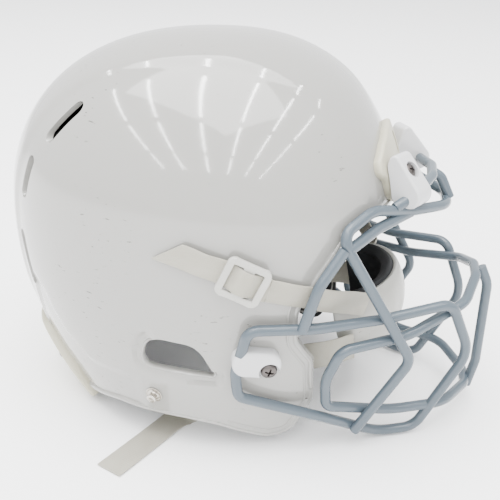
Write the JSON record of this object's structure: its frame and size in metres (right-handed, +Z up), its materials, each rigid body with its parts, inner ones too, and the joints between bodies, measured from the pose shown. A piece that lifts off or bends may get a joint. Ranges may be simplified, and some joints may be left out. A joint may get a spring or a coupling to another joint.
{
  "type": "american football helmet",
  "caption": "Hard-shell american football helmet with a coated wire face mask, brow and jaw clips, padded liner, snap buckles and a strapped chin cup.",
  "frame": {"origin": "middle of the footprint, on the surface that the helmet rests on with its nape bumper and the mask's bottom wires", "axes": "+X towards the wearer's front, +Z up, the wearer's right side is -Y"},
  "size_m": [0.351, 0.288, 0.2635],
  "materials": {
    "shell_polycarbonate": "painted gloss",
    "mask_coating": "powder and dip coated steel wire, satin gloss",
    "screw_steel": "dulled steel",
    "stud_nickel": "nickel plated brass",
    "clip_nylon": "moulded",
    "bumper_rubber": "soft moulded TPU",
    "buckle_acetal": "moulded",
    "strap_webbing": "coated webbing",
    "cup_polycarbonate": "moulded, speckled by wear",
    "cup_foam": "closed cell foam",
    "pod_tpu": "moulded TPU",
    "liner_fabric": "brushed fabric over foam"
  },
  "bodies": {
    "helmet": {"crown_pad": "liner_fabric", "forehead_bumper": "bumper_rubber", "front_pad": "liner_fabric", "jaw_clip_left": "clip_nylon", "jaw_clip_right": "clip_nylon", "jaw_clip_screws": "screw_steel", "jaw_pad_left": "liner_fabric", "jaw_pad_right": "liner_fabric", "jaw_t_nuts": "screw_steel", "lower_snap_studs": "stud_nickel", "lower_strap_left": "strap_webbing", "lower_strap_right": "strap_webbing", "mask_brow_hoop": "mask_coating", "mask_centre_bar": "mask_coating", "mask_centre_brace": "mask_coating", "mask_clip_bar": "mask_coating", "mask_diagonal_bar_left": "mask_coating", "mask_diagonal_bar_right": "mask_coating", "mask_inner_brow_bar_left": "mask_coating", "mask_inner_brow_bar_right": "mask_coating", "mask_ring": "mask_coating", "mask_side_loop_left": "mask_coating", "mask_side_loop_right": "mask_coating", "nape_bumper": "bumper_rubber", "nape_bumper_screws": "screw_steel", "nape_pad": "liner_fabric", "rear_pad": "liner_fabric", "shell": "shell_polycarbonate", "shock_pods": "pod_tpu", "side_pad_left": "liner_fabric", "side_pad_right": "liner_fabric", "top_clip_left": "clip_nylon", "top_clip_nuts": "screw_steel", "top_clip_right": "clip_nylon", "top_clip_screws": "screw_steel", "upper_snap_studs": "stud_nickel", "upper_strap_rear_left": "strap_webbing", "upper_strap_rear_right": "strap_webbing"},
    "chin_cup": {"chin_cup_shell": "cup_polycarbonate", "chin_cup_pad": "cup_foam", "upper_strap_front_right": "strap_webbing", "upper_strap_front_left": "strap_webbing"},
    "buckle_right": {"buckle_right": "buckle_acetal", "upper_strap_tail_right": "strap_webbing"},
    "buckle_left": {"buckle_left": "buckle_acetal", "upper_strap_tail_left": "strap_webbing"}
  },
  "joints": [
    {"name": "chin_cup_swing", "type": "hinge", "parent": "helmet", "child": "chin_cup", "pos_m": [0.054, 0, 0.1224], "axis": [0, 1, 0], "range_deg": [-10, 25], "deforming": ["upper_strap_front_right", "upper_strap_front_left", "lower_strap_right", "lower_strap_left"]},
    {"name": "buckle_right_unsnap", "type": "slide", "parent": "helmet", "child": "buckle_right", "axis": [0.2079, -0.9781, 0.0053], "range_m": [0, 0.007], "deforming": ["upper_strap_rear_right"]},
    {"name": "buckle_left_unsnap", "type": "slide", "parent": "helmet", "child": "buckle_left", "axis": [0.2079, 0.9781, 0.0053], "range_m": [0, 0.007], "deforming": ["upper_strap_rear_left"]}
  ]
}
